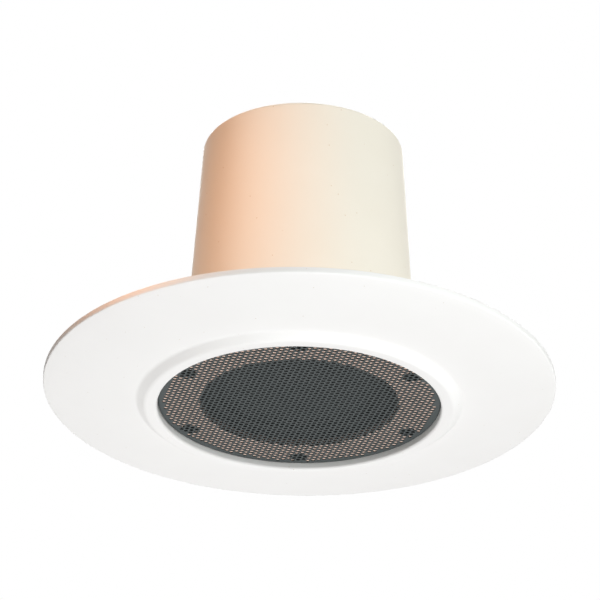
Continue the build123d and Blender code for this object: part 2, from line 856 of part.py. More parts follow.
with BuildPart() as block_screws:
    with BuildSketch(Plane.XY.offset(plate_floor)):
        with Locations(*ears):
            Circle(small_head_d / 2)
    extrude(amount=small_head_h)
    fillet(block_screws.edges().group_by(Axis.Z)[-1], radius=small_head_h / 2)
    with BuildSketch(Plane.XY.offset(plate_floor + small_head_h)):
        with Locations(*ears):
            Rectangle(recess_l * 0.7, recess_w)
            Rectangle(recess_w, recess_l * 0.7)
    extrude(amount=-recess_depth, mode=Mode.SUBTRACT)
    with BuildSketch(Plane.XY.offset(plate_floor)):
        with Locations(*ears):
            Circle(small_screw_d / 2)
    extrude(amount=-block_base_h - can_wall - ear_boss_l + tip_clear)
export(block_screws, "block_screws")


# Leads from the tails of the terminal plates to the solder tags
def lead_radii(points):
    # Bend radius at each corner of a route
    radii = []
    for before, corner, after in zip(points, points[1:], points[2:]):
        run_in = Vector(corner) - Vector(before)
        run_out = Vector(after) - Vector(corner)
        turn = run_in.get_angle(run_out)
        radii.append(lead_bend_share * min(run_in.length, run_out.length) / tan(radians(turn / 2)))
    return radii


def tag_point(offset):
    # Where a lead is soldered on its tag
    place = board_plane.from_local_coords((tag_tip - 2 * tag_hole_d - lead_d / 2, offset, board_t + tag_t))
    return tuple(place)


red_end = tag_point(-tag_offset)
black_end = tag_point(tag_offset)
lead_routes = {
    "lead_red": [
        (block_pitch / 2, tail_y, tail_end),
        (block_pitch / 2, tail_y, tail_end - 20),
        (13.5, 11.5, tail_end - 44),
        (25.5, 18.5, tail_end - 66),
        (red_end[0], red_end[1], red_end[2] + 18),
        red_end,
    ],
    "lead_black": [
        (-block_pitch / 2, tail_y, tail_end),
        (-block_pitch / 2, tail_y, tail_end - 20),
        (3.5, 14.5, tail_end - 44),
        (14.5, 26.0, tail_end - 66),
        (black_end[0], black_end[1], black_end[2] + 18),
        black_end,
    ],
}
for name, route in lead_routes.items():
    radii = lead_radii(route)
    print(name, "bend radii", [round(radius, 1) for radius in radii])
    with BuildPart() as lead:
        with BuildLine() as path:
            FilletPolyline(*route, radius=radii)
        with BuildSketch(Plane(origin=path.line @ 0, z_dir=path.line % 0)):
            Circle(lead_d / 2)
        sweep()
    lead_length = sum(edge.length for edge in path.edges())
    print(name, "volume", round(lead.part.volume, 2), "expected", round(pi * lead_d**2 / 4 * lead_length, 2))
    export(lead, name)
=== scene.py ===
import bpy
import json
import math
from mathutils import Matrix, Vector


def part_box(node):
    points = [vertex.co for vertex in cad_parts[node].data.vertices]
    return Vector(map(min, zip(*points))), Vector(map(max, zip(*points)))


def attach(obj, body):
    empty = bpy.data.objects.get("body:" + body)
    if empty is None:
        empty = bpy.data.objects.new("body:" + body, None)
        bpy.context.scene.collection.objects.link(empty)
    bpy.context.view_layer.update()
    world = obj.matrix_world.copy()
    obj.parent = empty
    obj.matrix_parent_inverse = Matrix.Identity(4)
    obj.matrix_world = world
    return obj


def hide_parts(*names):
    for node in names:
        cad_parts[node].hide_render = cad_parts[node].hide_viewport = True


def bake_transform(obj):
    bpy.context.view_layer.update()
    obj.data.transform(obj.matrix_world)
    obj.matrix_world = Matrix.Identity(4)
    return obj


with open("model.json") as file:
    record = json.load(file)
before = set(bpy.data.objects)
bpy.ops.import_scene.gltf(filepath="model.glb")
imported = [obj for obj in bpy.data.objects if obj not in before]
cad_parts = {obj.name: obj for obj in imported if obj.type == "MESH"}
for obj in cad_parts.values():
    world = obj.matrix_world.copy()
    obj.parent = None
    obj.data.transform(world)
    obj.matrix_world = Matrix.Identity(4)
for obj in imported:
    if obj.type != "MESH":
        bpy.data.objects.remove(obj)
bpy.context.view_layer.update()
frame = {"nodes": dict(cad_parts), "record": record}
nodes = frame["nodes"]
mm = 0.001
print("frame loaded with", len(nodes), "nodes")


# Camera below the ceiling plate, looking up at it
cameraSetup = {
    "place": (0.0, -1.4399, -0.6976),
    "aim": (-0.0004, 0.0, 0.0455),
    "roll": 0.89,            # degrees
    "lens": 204.6,
    "sensor": 36.0,
    "nearest": 0.05,         # metres
}


def addCamera(setup):
    place = Vector(setup["place"])
    bpy.ops.object.camera_add(location=place)
    camera = bpy.context.object
    aimed = (Vector(setup["aim"]) - place).to_track_quat("-Z", "Y").to_matrix()
    rolled = Matrix.Rotation(math.radians(setup["roll"]), 3, "Z")
    camera.rotation_euler = (aimed @ rolled).to_euler()
    camera.data.sensor_width = setup["sensor"]
    camera.data.lens = setup["lens"]
    camera.data.clip_start = setup["nearest"]
    bpy.context.scene.camera = camera


addCamera(cameraSetup)
print("camera placed")


def mathNode(tree, operation, first, second):
    node = tree.nodes.new("ShaderNodeMath")
    node.operation = operation
    for socket, value in zip(node.inputs, (first, second)):
        if isinstance(value, (int, float)):
            socket.default_value = value
        else:
            tree.links.new(value, socket)
    return node.outputs[0]


# Studio: soft boxes, plain surroundings and a pale floor far below the camera
studioSetup = {
    "boxes": {
        "keyBox": {          # from the right
            "place": (1.127, -1.442, 0.05), "size": (0.7, 0.7),
            "power": 27.6, "color": (0.945, 0.985, 1.0),
        },
        "warmBox": {         # close beside the can, warms its left
            "place": (-0.096, -0.115, 0.085), "size": (0.05, 0.18),
            "power": 0.079, "color": (1.0, 0.50, 0.28),
        },
        "underBox": {        # the plate's own light, from below
            "place": (-0.05, 0.08, -1.2), "size": (1.5, 1.5),
            "power": 15.1, "color": (0.96, 0.972, 1.0),
        },
        "backBox": {         # for the back and the top, which the main view doesn't see
            "place": (0.0, 1.4, 1.5), "size": (1.4, 1.4),
            "power": 33.0, "color": (1.0, 1.0, 1.0),
        },
    },
    "aim": (0.0, 0.0, 0.05),
    "skyColor": (1.0, 0.88, 0.76),
    "skyStrength": 0.16,
    "floorDrop": 2.6,        # metres below the ceiling's face, so that a camera below sees the plate
    "floorSize": 30.0,
    "floorColor": (0.86, 0.85, 0.84),
    "floorRough": 0.9,
}


def addSoftBox(name, box, aim):
    bpy.ops.object.light_add(type="AREA", location=box["place"])
    lamp = bpy.context.object
    lamp.name = name
    lamp.rotation_euler = (Vector(aim) - Vector(box["place"])).to_track_quat("-Z", "Y").to_euler()
    lamp.data.shape = "ELLIPSE"
    lamp.data.size, lamp.data.size_y = box["size"]
    lamp.data.energy = box["power"]
    lamp.data.color = box["color"]


def seenDirectly(tree):      # 1 for camera, glossy and transmitted rays, 0 for light that falls on the object
    rays = tree.nodes.new("ShaderNodeLightPath")
    gloss, glass = rays.outputs["Is Glossy Ray"], rays.outputs["Is Transmission Ray"]
    glossOrGlass = mathNode(tree, "MAXIMUM", gloss, glass)
    return mathNode(tree, "MAXIMUM", rays.outputs["Is Camera Ray"], glossOrGlass)


def lightSurroundings(setup):
    world = bpy.data.worlds.new("studio")
    bpy.context.scene.world = world
    world.use_nodes = True
    tree = world.node_tree
    tree.nodes.clear()
    seen = seenDirectly(tree)
    lit = tree.nodes.new("ShaderNodeBackground")
    lit.inputs["Color"].default_value = (*setup["skyColor"], 1)
    lit.inputs["Strength"].default_value = setup["skyStrength"]
    white = tree.nodes.new("ShaderNodeBackground")
    white.inputs["Color"].default_value = (1, 1, 1, 1)
    white.inputs["Strength"].default_value = 1
    mix = tree.nodes.new("ShaderNodeMixShader")
    out = tree.nodes.new("ShaderNodeOutputWorld")
    tree.links.new(seen, mix.inputs[0])
    tree.links.new(lit.outputs[0], mix.inputs[1])
    tree.links.new(white.outputs[0], mix.inputs[2])
    tree.links.new(mix.outputs[0], out.inputs["Surface"])


def addFloor(setup):
    bpy.ops.mesh.primitive_plane_add(size=setup["floorSize"], location=(0, 0, -setup["floorDrop"]))
    floor = bpy.context.object
    floor.name = "studioFloor"
    paint = bpy.data.materials.new("floorPaint")
    paint.use_nodes = True
    tree = paint.node_tree
    matt = tree.nodes["Principled BSDF"]
    matt.inputs["Base Color"].default_value = (*setup["floorColor"], 1)
    matt.inputs["Roughness"].default_value = setup["floorRough"]
    white = tree.nodes.new("ShaderNodeEmission")
    mix = tree.nodes.new("ShaderNodeMixShader")
    tree.links.new(seenDirectly(tree), mix.inputs[0])
    tree.links.new(matt.outputs[0], mix.inputs[1])
    tree.links.new(white.outputs[0], mix.inputs[2])
    tree.links.new(mix.outputs[0], tree.nodes["Material Output"].inputs["Surface"])
    floor.data.materials.append(paint)


for name, box in studioSetup["boxes"].items():
    addSoftBox(name, box, studioSetup["aim"])
lightSurroundings(studioSetup)
addFloor(studioSetup)
bpy.context.scene.view_settings.view_transform = "Standard"
print("studio lit")


# Shared shader effects, each a node group on the piece's own Object coordinates
effectSetup = {
    "noiseRough": 0.55, "toneDetail": 3,
    "speckReach": 0.24,      # a speck's radius as a share of its cell
    "grainDetail": 4, "hazeScale": 60.0, "hazeDetail": 3, "ringDetail": 2,
}


def newGroup(name, inputs, outputs):
    group = bpy.data.node_groups.new(name, "ShaderNodeTree")
    for label, kind, value in inputs:
        socket = group.interface.new_socket(label, in_out="INPUT", socket_type=kind)
        socket.default_value = value
    for label, kind in outputs:
        group.interface.new_socket(label, in_out="OUTPUT", socket_type=kind)
    return group, group.nodes.new("NodeGroupInput"), group.nodes.new("NodeGroupOutput")


def noiseNode(tree, place, scale, detail):
    node = tree.nodes.new("ShaderNodeTexNoise")
    node.inputs["Detail"].default_value = detail
    node.inputs["Roughness"].default_value = effectSetup["noiseRough"]
    tree.links.new(place, node.inputs["Vector"])
    if isinstance(scale, (int, float)):
        node.inputs["Scale"].default_value = scale
    else:
        tree.links.new(scale, node.inputs["Scale"])
    return node.outputs["Fac"]


def mixColor(tree, factor, first, second):
    node = tree.nodes.new("ShaderNodeMix")
    node.data_type = "RGBA"
    tree.links.new(factor, node.inputs["Factor"])
    for socket, value in ((node.inputs["A"], first), (node.inputs["B"], second)):
        if isinstance(value, tuple):
            socket.default_value = (*value, 1)
        else:
            tree.links.new(value, socket)
    return node.outputs["Result"]


def buildTone():             # slow drift between two tones of a finish, with scattered dust specks
    group, into, out = newGroup(
        "slowTone",
        [
            ("Light", "NodeSocketColor", (0.8, 0.8, 0.8, 1)),
            ("Dark", "NodeSocketColor", (0.7, 0.7, 0.7, 1)),
            ("Speck", "NodeSocketColor", (0.5, 0.5, 0.5, 1)),
            ("Scale", "NodeSocketFloat", 30.0),
            ("Speck Scale", "NodeSocketFloat", 900.0),
            ("Speck Share", "NodeSocketFloat", 0.02),
        ],
        [("Color", "NodeSocketColor")],
    )
    place = group.nodes.new("ShaderNodeTexCoord").outputs["Object"]
    drift = noiseNode(group, place, into.outputs["Scale"], effectSetup["toneDetail"])
    toned = mixColor(group, drift, into.outputs["Light"], into.outputs["Dark"])
    cells = group.nodes.new("ShaderNodeTexVoronoi")
    group.links.new(place, cells.inputs["Vector"])
    group.links.new(into.outputs["Speck Scale"], cells.inputs["Scale"])
    near = mathNode(group, "LESS_THAN", cells.outputs["Distance"], effectSetup["speckReach"])
    lot = group.nodes.new("ShaderNodeSeparateColor")
    group.links.new(cells.outputs["Color"], lot.inputs[0])
    chosen = mathNode(group, "LESS_THAN", lot.outputs[0], into.outputs["Speck Share"])
    speck = mathNode(group, "MULTIPLY", near, chosen)
    group.links.new(mixColor(group, speck, toned, into.outputs["Speck"]), out.inputs["Color"])
    return group


def buildGrain():            # fine surface grain as height, and a slow haze as roughness
    group, into, out = newGroup(
        "fineGrain",
        [
            ("Scale", "NodeSocketFloat", 2500.0),
            ("Pits", "NodeSocketFloat", 0.4),
            ("Rough Low", "NodeSocketFloat", 0.4),
            ("Rough High", "NodeSocketFloat", 0.5),
        ],
        [("Height", "NodeSocketFloat"), ("Roughness", "NodeSocketFloat")],
    )
    place = group.nodes.new("ShaderNodeTexCoord").outputs["Object"]
    grain = noiseNode(group, place, into.outputs["Scale"], effectSetup["grainDetail"])
    cells = group.nodes.new("ShaderNodeTexVoronoi")
    cells.feature = "SMOOTH_F1"
    group.links.new(place, cells.inputs["Vector"])
    group.links.new(into.outputs["Scale"], cells.inputs["Scale"])
    pits = mathNode(group, "MULTIPLY", cells.outputs["Distance"], into.outputs["Pits"])
    group.links.new(mathNode(group, "ADD", grain, pits), out.inputs["Height"])
    haze = noiseNode(group, place, effectSetup["hazeScale"], effectSetup["hazeDetail"])
    span = mathNode(group, "SUBTRACT", into.outputs["Rough High"], into.outputs["Rough Low"])
    lift = mathNode(group, "MULTIPLY", haze, span)
    group.links.new(mathNode(group, "ADD", into.outputs["Rough Low"], lift), out.inputs["Roughness"])
    return group


def buildTurning():          # rings left by a lathe or a press tool about the Z axis
    group, into, out = newGroup(
        "turnedRings",
        [("Scale", "NodeSocketFloat", 900.0), ("Waver", "NodeSocketFloat", 0.6)],
        [("Height", "NodeSocketFloat")],
    )
    place = group.nodes.new("ShaderNodeTexCoord").outputs["Object"]
    rings = group.nodes.new("ShaderNodeTexWave")
    rings.wave_type = "RINGS"
    rings.rings_direction = "Z"
    rings.inputs["Detail"].default_value = effectSetup["ringDetail"]
    group.links.new(place, rings.inputs["Vector"])
    group.links.new(into.outputs["Scale"], rings.inputs["Scale"])
    group.links.new(into.outputs["Waver"], rings.inputs["Distortion"])
    group.links.new(rings.outputs["Fac"], out.inputs["Height"])
    return group


def buildWeave():            # plain weave on flat X and Y, as on cloth dipped in resin
    group, into, out = newGroup(
        "plainWeave",
        [("Scale", "NodeSocketFloat", 1600.0)],
        [("Height", "NodeSocketFloat")],
    )
    place = group.nodes.new("ShaderNodeTexCoord").outputs["Object"]
    threads = []
    for direction in ("X", "Y"):
        wave = group.nodes.new("ShaderNodeTexWave")
        wave.bands_direction = direction
        group.links.new(place, wave.inputs["Vector"])
        group.links.new(into.outputs["Scale"], wave.inputs["Scale"])
        threads.append(wave.outputs["Fac"])
    group.links.new(mathNode(group, "MAXIMUM", *threads), out.inputs["Height"])
    return group


slowTone = buildTone()
fineGrain = buildGrain()
turnedRings = buildTurning()
plainWeave = buildWeave()
print("effects built")


# Finishes, one for each material slot
finishes = {
    "white_abs": {
        "light": (0.90, 0.90, 0.885), "dark": (0.87, 0.868, 0.85), "speck": (0.72, 0.68, 0.62),
        "rough": (0.46, 0.56), "grain": 2600, "bump": 0.06, "specks": 0.006, "gloss": 0.3,
        "paintedShade": (0.84, 0.63, 0.525), "paintedShadeRadius": 66.1, "paintedShadeFrom": -9.4,  # painted shade: a warm tan on the ledge behind the grille stands in for the shade there
    },
    "cream_abs": {
        "light": (0.90, 0.86, 0.76), "dark": (0.87, 0.82, 0.71), "speck": (0.70, 0.58, 0.42),
        "rough": (0.48, 0.58), "grain": 2200, "bump": 0.07, "specks": 0.006, "gloss": 0.15,
    },
    "grille_black": {
        "light": (0.050, 0.060, 0.060), "dark": (0.040, 0.049, 0.049), "speck": (0.11, 0.11, 0.11),
        "rough": (0.50, 0.62), "grain": 1500, "bump": 0.25, "specks": 0.01, "gloss": 0.3,
    },
    "gasket_foam": {
        "light": (0.065, 0.065, 0.068), "dark": (0.04, 0.04, 0.042), "speck": (0.02, 0.02, 0.02),
        "rough": (0.85, 0.95), "grain": 1400, "bump": 0.7, "specks": 0.3,
    },
    "black_screw": {
        "light": (0.045, 0.045, 0.048), "dark": (0.028, 0.028, 0.03), "speck": (0.16, 0.15, 0.14),
        "rough": (0.28, 0.42), "grain": 3200, "bump": 0.12, "specks": 0.03, "metal": 0.85,
    },
    "zinc_steel": {
        "light": (0.64, 0.64, 0.63), "dark": (0.52, 0.53, 0.55), "speck": (0.40, 0.38, 0.34),
        "rough": (0.26, 0.38), "grain": 2600, "bump": 0.08, "specks": 0.03, "metal": 1.0,
    },
    "nickel_brass": {
        "light": (0.70, 0.66, 0.56), "dark": (0.60, 0.55, 0.44), "speck": (0.42, 0.36, 0.25),
        "rough": (0.22, 0.36), "grain": 2400, "bump": 0.06, "specks": 0.02, "metal": 1.0,
    },
    "tinned_brass": {
        "light": (0.72, 0.71, 0.67), "dark": (0.60, 0.58, 0.52), "speck": (0.5, 0.44, 0.3),
        "rough": (0.25, 0.45), "grain": 1500, "bump": 0.12, "specks": 0.05, "metal": 1.0,
    },
    "black_phenolic": {
        "light": (0.05, 0.05, 0.052), "dark": (0.032, 0.032, 0.034), "speck": (0.12, 0.11, 0.10),
        "rough": (0.34, 0.48), "grain": 2000, "bump": 0.12, "specks": 0.03,
    },
    "brown_phenolic": {
        "light": (0.30, 0.155, 0.07), "dark": (0.20, 0.095, 0.04), "speck": (0.12, 0.06, 0.03),
        "rough": (0.40, 0.55), "grain": 1200, "bump": 0.15, "specks": 0.15,
    },
    "black_frame": {
        "light": (0.05, 0.05, 0.053), "dark": (0.035, 0.035, 0.037), "speck": (0.11, 0.11, 0.11),
        "rough": (0.36, 0.50), "grain": 1400, "bump": 0.16, "specks": 0.02,
    },
    "surround_rubber": {
        "light": (0.064, 0.066, 0.067), "dark": (0.050, 0.052, 0.053), "speck": (0.11, 0.11, 0.11),
        "rough": (0.45, 0.60), "grain": 2200, "bump": 0.10, "specks": 0.02,
    },
    "spider_cloth": {
        "light": (0.66, 0.43, 0.15), "dark": (0.52, 0.32, 0.10), "speck": (0.40, 0.24, 0.08),
        "rough": (0.65, 0.80), "grain": 1800, "bump": 0.5, "specks": 0.03, "weave": 420,
    },
    "cone_paper": {
        "light": (0.120, 0.128, 0.128), "dark": (0.092, 0.100, 0.100), "speck": (0.20, 0.20, 0.19),
        "rough": (0.75, 0.90), "grain": 900, "bump": 0.5, "specks": 0.08,
    },
    "former_aluminium": {
        "light": (0.80, 0.80, 0.80), "dark": (0.70, 0.70, 0.71), "speck": (0.55, 0.55, 0.55),
        "rough": (0.25, 0.35), "grain": 2400, "bump": 0.05, "specks": 0.02, "metal": 1.0,
    },
    "copper_wire": {
        "light": (0.74, 0.34, 0.15), "dark": (0.62, 0.25, 0.09), "speck": (0.40, 0.14, 0.05),
        "rough": (0.22, 0.34), "grain": 2400, "bump": 0.05, "specks": 0.02, "metal": 1.0,
    },
    "plated_steel": {
        "light": (0.66, 0.63, 0.53), "dark": (0.54, 0.52, 0.46), "speck": (0.40, 0.37, 0.30),
        "rough": (0.28, 0.42), "grain": 2200, "bump": 0.08, "specks": 0.03, "metal": 1.0, "rings": 700,
    },
    "ferrite": {
        "light": (0.085, 0.085, 0.09), "dark": (0.055, 0.055, 0.058), "speck": (0.16, 0.16, 0.17),
        "rough": (0.55, 0.75), "grain": 1100, "bump": 0.35, "specks": 0.12,
    },
    "red_lead": {
        "light": (0.58, 0.035, 0.025), "dark": (0.46, 0.022, 0.016), "speck": (0.30, 0.02, 0.015),
        "rough": (0.34, 0.46), "grain": 1500, "bump": 0.10, "specks": 0.03,
    },
    "black_lead": {
        "light": (0.040, 0.040, 0.042), "dark": (0.026, 0.026, 0.027), "speck": (0.09, 0.09, 0.09),
        "rough": (0.34, 0.46), "grain": 1500, "bump": 0.10, "specks": 0.03,
    },
    "dog_nylon": {
        "light": (0.055, 0.055, 0.06), "dark": (0.038, 0.038, 0.041), "speck": (0.12, 0.12, 0.12),
        "rough": (0.40, 0.52), "grain": 1900, "bump": 0.14, "specks": 0.02,
    },
}
defaultGloss = 0.5           # of a plain dielectric
grainDepth = 0.02 * mm


def insideOf(tree, radius, height):  # 1 within a radius of the Z axis and above a height
    place = tree.nodes.new("ShaderNodeSeparateXYZ")
    tree.links.new(tree.nodes.new("ShaderNodeTexCoord").outputs["Object"], place.inputs[0])
    across = mathNode(tree, "POWER", place.outputs["X"], 2.0)
    along = mathNode(tree, "POWER", place.outputs["Y"], 2.0)
    near = mathNode(tree, "LESS_THAN", mathNode(tree, "ADD", across, along), (radius * mm) ** 2)
    above = mathNode(tree, "GREATER_THAN", place.outputs["Z"], height * mm)
    return mathNode(tree, "MULTIPLY", near, above)


def addEffect(tree, group, values):  # a shared effect with this finish's own values
    effect = tree.nodes.new("ShaderNodeGroup")
    effect.node_tree = group
    for label, value in values.items():
        effect.inputs[label].default_value = value
    return effect


def makeFinish(name, look):
    finish = bpy.data.materials.new(name)
    finish.use_nodes = True
    tree = finish.node_tree
    shader = tree.nodes["Principled BSDF"]
    shader.inputs["Metallic"].default_value = look.get("metal", 0.0)
    shader.inputs["Specular IOR Level"].default_value = look.get("gloss", defaultGloss)
    tones = {label.title(): (*look[label], 1) for label in ("light", "dark", "speck")}
    tone = addEffect(tree, slowTone, {**tones, "Speck Share": look["specks"]})
    color = tone.outputs["Color"]
    # Painted shade: the ledge behind the grille, within a radius and above a height, takes a warm tan in
    # place of its shade
    if "paintedShade" in look:
        color = mixColor(tree, insideOf(tree, look["paintedShadeRadius"], look["paintedShadeFrom"]), color, look["paintedShade"])
    tree.links.new(color, shader.inputs["Base Color"])
    low, high = look["rough"]
    grain = addEffect(tree, fineGrain, {"Scale": look["grain"], "Rough Low": low, "Rough High": high})
    tree.links.new(grain.outputs["Roughness"], shader.inputs["Roughness"])
    height = grain.outputs["Height"]
    for label, group in (("rings", turnedRings), ("weave", plainWeave)):
        if label in look:
            relief = addEffect(tree, group, {"Scale": look[label]})
            height = mathNode(tree, "ADD", height, relief.outputs["Height"])
    bump = tree.nodes.new("ShaderNodeBump")
    bump.inputs["Strength"].default_value = look["bump"]
    bump.inputs["Distance"].default_value = grainDepth
    tree.links.new(height, bump.inputs["Height"])
    tree.links.new(bump.outputs["Normal"], shader.inputs["Normal"])
    return finish


finishOf = {name: makeFinish(name, look) for name, look in finishes.items()}
print("finishes made:", len(finishOf))


# Each node's material slot and body in the record
record = frame["record"]
slotOf = {row["node"]: row["material_slot"] for row in record["subparts"]}
bodyOf = {node: body for body, members in record["behaviour"]["bodies"].items() for node in members}


# Modelling helpers, all sizes in millimetres
weld = 0.001 * mm
past = 1.0                   # cutting tools run this far past a wall
flatAngle = 0.5              # degrees, faces within this are one flat


def takeUp(piece):
    bpy.ops.object.select_all(action="DESELECT")
    piece.select_set(True)
    bpy.context.view_layer.objects.active = piece


def startEdit(piece):
    takeUp(piece)
    bpy.ops.object.mode_set(mode="EDIT")
    bpy.ops.mesh.select_all(action="SELECT")


def endEdit():
    bpy.ops.object.mode_set(mode="OBJECT")


def corners(node):
    low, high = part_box(node)
    return low / mm, high / mm


def around(radius, angle):   # a place on a circle about Z
    turned = math.radians(angle)
    return Vector((radius * math.cos(turned), radius * math.sin(turned), 0.0))


def applied(piece, kind, **settings):
    takeUp(piece)
    modifier = piece.modifiers.new(kind.lower(), kind)
    for key, value in settings.items():
        setattr(modifier, key, value)
    bpy.ops.object.modifier_apply(modifier=modifier.name)


def combine(piece, tool, operation):
    applied(piece, "BOOLEAN", object=tool, operation=operation, solver="EXACT")
    bpy.data.objects.remove(tool)


def soften(piece, width, segments=2, angle=40):
    applied(
        piece, "BEVEL", width=width * mm, segments=segments, limit_method="ANGLE",
        angle_limit=math.radians(angle), harden_normals=False,
    )


def drawLine(name, points):  # one vertex, extruded from point to point
    bpy.ops.object.select_all(action="DESELECT")
    bpy.ops.mesh.primitive_plane_add(size=mm)
    line = bpy.context.object
    line.name = name
    startEdit(line)
    bpy.ops.mesh.merge(type="CENTER")
    bpy.ops.transform.translate(value=Vector(points[0]) * mm)
    for here, there in zip(points, points[1:]):
        step = (Vector(there) - Vector(here)) * mm
        bpy.ops.mesh.extrude_vertices_move(TRANSFORM_OT_translate={"value": step})
    endEdit()
    return line


def closeUp(piece):
    startEdit(piece)
    bpy.ops.mesh.remove_doubles(threshold=weld)
    bpy.ops.mesh.normals_make_consistent(inside=False)
    endEdit()


def lathe(name, profile, steps, turn=math.tau):  # profile of (radius, height), spun about Z
    piece = drawLine(name, [(radius, 0, height) for radius, height in profile])
    startEdit(piece)
    bpy.ops.mesh.spin(steps=steps, angle=turn, center=(0, 0, 0), axis=(0, 0, 1))
    endEdit()
    closeUp(piece)
    return piece


def plate(name, outline, depth):  # closed outline, filled and extruded along depth
    piece = drawLine(name, [*outline, outline[0]])
    startEdit(piece)
    bpy.ops.mesh.remove_doubles(threshold=weld)
    bpy.ops.mesh.edge_face_add()
    bpy.ops.mesh.extrude_region_move(TRANSFORM_OT_translate={"value": Vector(depth) * mm})
    endEdit()
    closeUp(piece)
    return piece


def place(piece, where, turn=0.0):
    piece.location = Vector(where) * mm
    piece.rotation_euler = (0, 0, math.radians(turn))
    takeUp(piece)
    bpy.ops.object.transform_apply(location=True, rotation=True, scale=True)


def ringOf(piece, count):    # copies about Z inside the same mesh
    startEdit(piece)
    bpy.ops.mesh.spin(
        steps=count - 1, angle=math.tau * (count - 1) / count, center=(0, 0, 0), axis=(0, 0, 1), dupli=True
    )
    endEdit()


def drill(name, radius, fromZ, toZ, where, segments=32):
    bpy.ops.object.select_all(action="DESELECT")
    bpy.ops.mesh.primitive_cylinder_add(
        vertices=segments, radius=radius * mm, depth=(toZ - fromZ) * mm,
        location=(where[0] * mm, where[1] * mm, (fromZ + toZ) / 2 * mm),
    )
    tool = bpy.context.object
    tool.name = name
    bpy.ops.object.transform_apply(location=True, rotation=True, scale=True)
    return tool


def block(name, low, high):
    bpy.ops.object.select_all(action="DESELECT")
    middle = (Vector(low) + Vector(high)) / 2
    bpy.ops.mesh.primitive_cube_add(size=mm, location=middle * mm, scale=Vector(high) - Vector(low))
    tool = bpy.context.object
    tool.name = name
    bpy.ops.object.transform_apply(location=True, rotation=True, scale=True)
    return tool


def joined(pieces):
    takeUp(pieces[0])
    for piece in pieces:
        piece.select_set(True)
    bpy.ops.object.join()
    return bpy.context.object


def rounded(outline, closed=True, steps=6):  # (radius, height, round) corners to points
    points = []
    for index, (radius, height, bend) in enumerate(outline):
        here = Vector((radius, height))
        atEnd = not closed and index in (0, len(outline) - 1)
        if bend == 0 or atEnd:
            points.append(tuple(here))
            continue
        back = (Vector(outline[index - 1][:2]) - here).normalized()
        ahead = (Vector(outline[(index + 1) % len(outline)][:2]) - here).normalized()
        half = back.angle(ahead) / 2
        middle = here + (back + ahead).normalized() * bend / math.sin(half)
        reach = bend / math.tan(half)
        start = (here + back * reach - middle).normalized()
        end = (here + ahead * reach - middle).normalized()
        for step in range(steps + 1):
            points.append(tuple(middle + start.slerp(end, step / steps) * bend))
    return [*points, points[0]] if closed else points


def bowed(first, last, bow, steps):  # the inner points of a shallow arc, sagging by bow
    shares = [step / steps for step in range(1, steps)]
    run = Vector(last) - Vector(first)
    points = [(Vector(first) + run * share, 4 * bow * share * (1 - share)) for share in shares]
    return [(point.x, point.y - sag, 0) for point, sag in points]


def ribbon(centre, thick):   # closed section of a sheet that follows a centre line
    points = [Vector(point) for point in centre]
    sides = []
    for index, point in enumerate(points):
        run = points[min(index + 1, len(points) - 1)] - points[max(index - 1, 0)]
        sides.append(Vector((-run.y, run.x)).normalized() * thick / 2)
    left = [tuple(point + side) for point, side in zip(points, sides)]
    right = [tuple(point - side) for point, side in zip(points, sides)]
    return [*left, *reversed(right), left[0]]


def dress(piece, slot, angle):
    takeUp(piece)
    bpy.ops.object.shade_smooth_by_angle(angle=math.radians(angle))
    piece.data.materials.clear()
    piece.data.materials.append(finishOf[slot])


def fitOut(piece, slot, body, node, angle=35):
    dress(piece, slot, angle)
    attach(piece, body)
    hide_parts(node)


def carryOver(name, node, soft):  # a node's own form, welded, with softened edges
    piece = bpy.data.objects.new(name, nodes[node].data.copy())
    bpy.context.scene.collection.objects.link(piece)
    startEdit(piece)
    bpy.ops.mesh.remove_doubles(threshold=weld / 2)
    if soft:
        bpy.ops.mesh.dissolve_limited(angle_limit=math.radians(flatAngle))
    endEdit()
    if soft:
        soften(piece, soft)
    fitOut(piece, slotOf[node], bodyOf[node], node)


# Grille: perforated sheet with a turned-up skirt, one hole cell modelled and repeated in staggered rows
grilleShape = {
    "sheet": 0.5, "skirt": 2.3, "skirtRound": 0.6, "bendSteps": 5, "plainEdge": 65.4,
    "hole": 2.0, "pitch": 2.74, "rowAngle": 60.0, "rowTurn": 13.4, "field": 64.7,
    "sides": 12, "steps": 180, "cellWeld": 0.01, "rowWeld": 0.02,
    "frontDepth": 0.01,      # what lies within this of the front is the flat sheet
}
grilleLow, grilleHigh = corners("grille")


def makeHoleRow(name, count, shape):  # cells side by side along Y, the first at the origin
    cornerReach, flatReach = shape["pitch"] / math.sqrt(3), shape["pitch"] / 2
    sides = shape["sides"]
    evenArea = math.sqrt(math.tau / (sides * math.sin(math.tau / sides)))  # as open as a round hole
    holeReach = shape["hole"] / 2 * evenArea
    bpy.ops.object.select_all(action="DESELECT")
    bpy.ops.mesh.primitive_circle_add(vertices=sides, radius=holeReach * mm)
    row = bpy.context.object
    row.name = name
    startEdit(row)
    bpy.ops.mesh.extrude_edges_move()
    outward = cornerReach / holeReach
    bpy.ops.transform.resize(value=(outward, outward, 1), center_override=(0, 0, 0))
    bpy.ops.mesh.select_all(action="DESELECT")
    endEdit()
    for vertex in row.data.vertices:
        angle = math.atan2(vertex.co.y, vertex.co.x)
        onFlat = round(angle / math.tau * sides) % 2 == 1
        vertex.select = onFlat and vertex.co.length > flatReach * mm
    inward = flatReach / cornerReach
    bpy.ops.object.mode_set(mode="EDIT")
    bpy.ops.transform.resize(value=(inward, inward, 1), center_override=(0, 0, 0))
    endEdit()
    applied(
        row, "ARRAY", count=count, use_relative_offset=False, use_constant_offset=True,
        constant_offset_displace=(0, shape["pitch"] * mm, 0),
        use_merge_vertices=True, merge_threshold=shape["cellWeld"] * mm,
    )
    return row


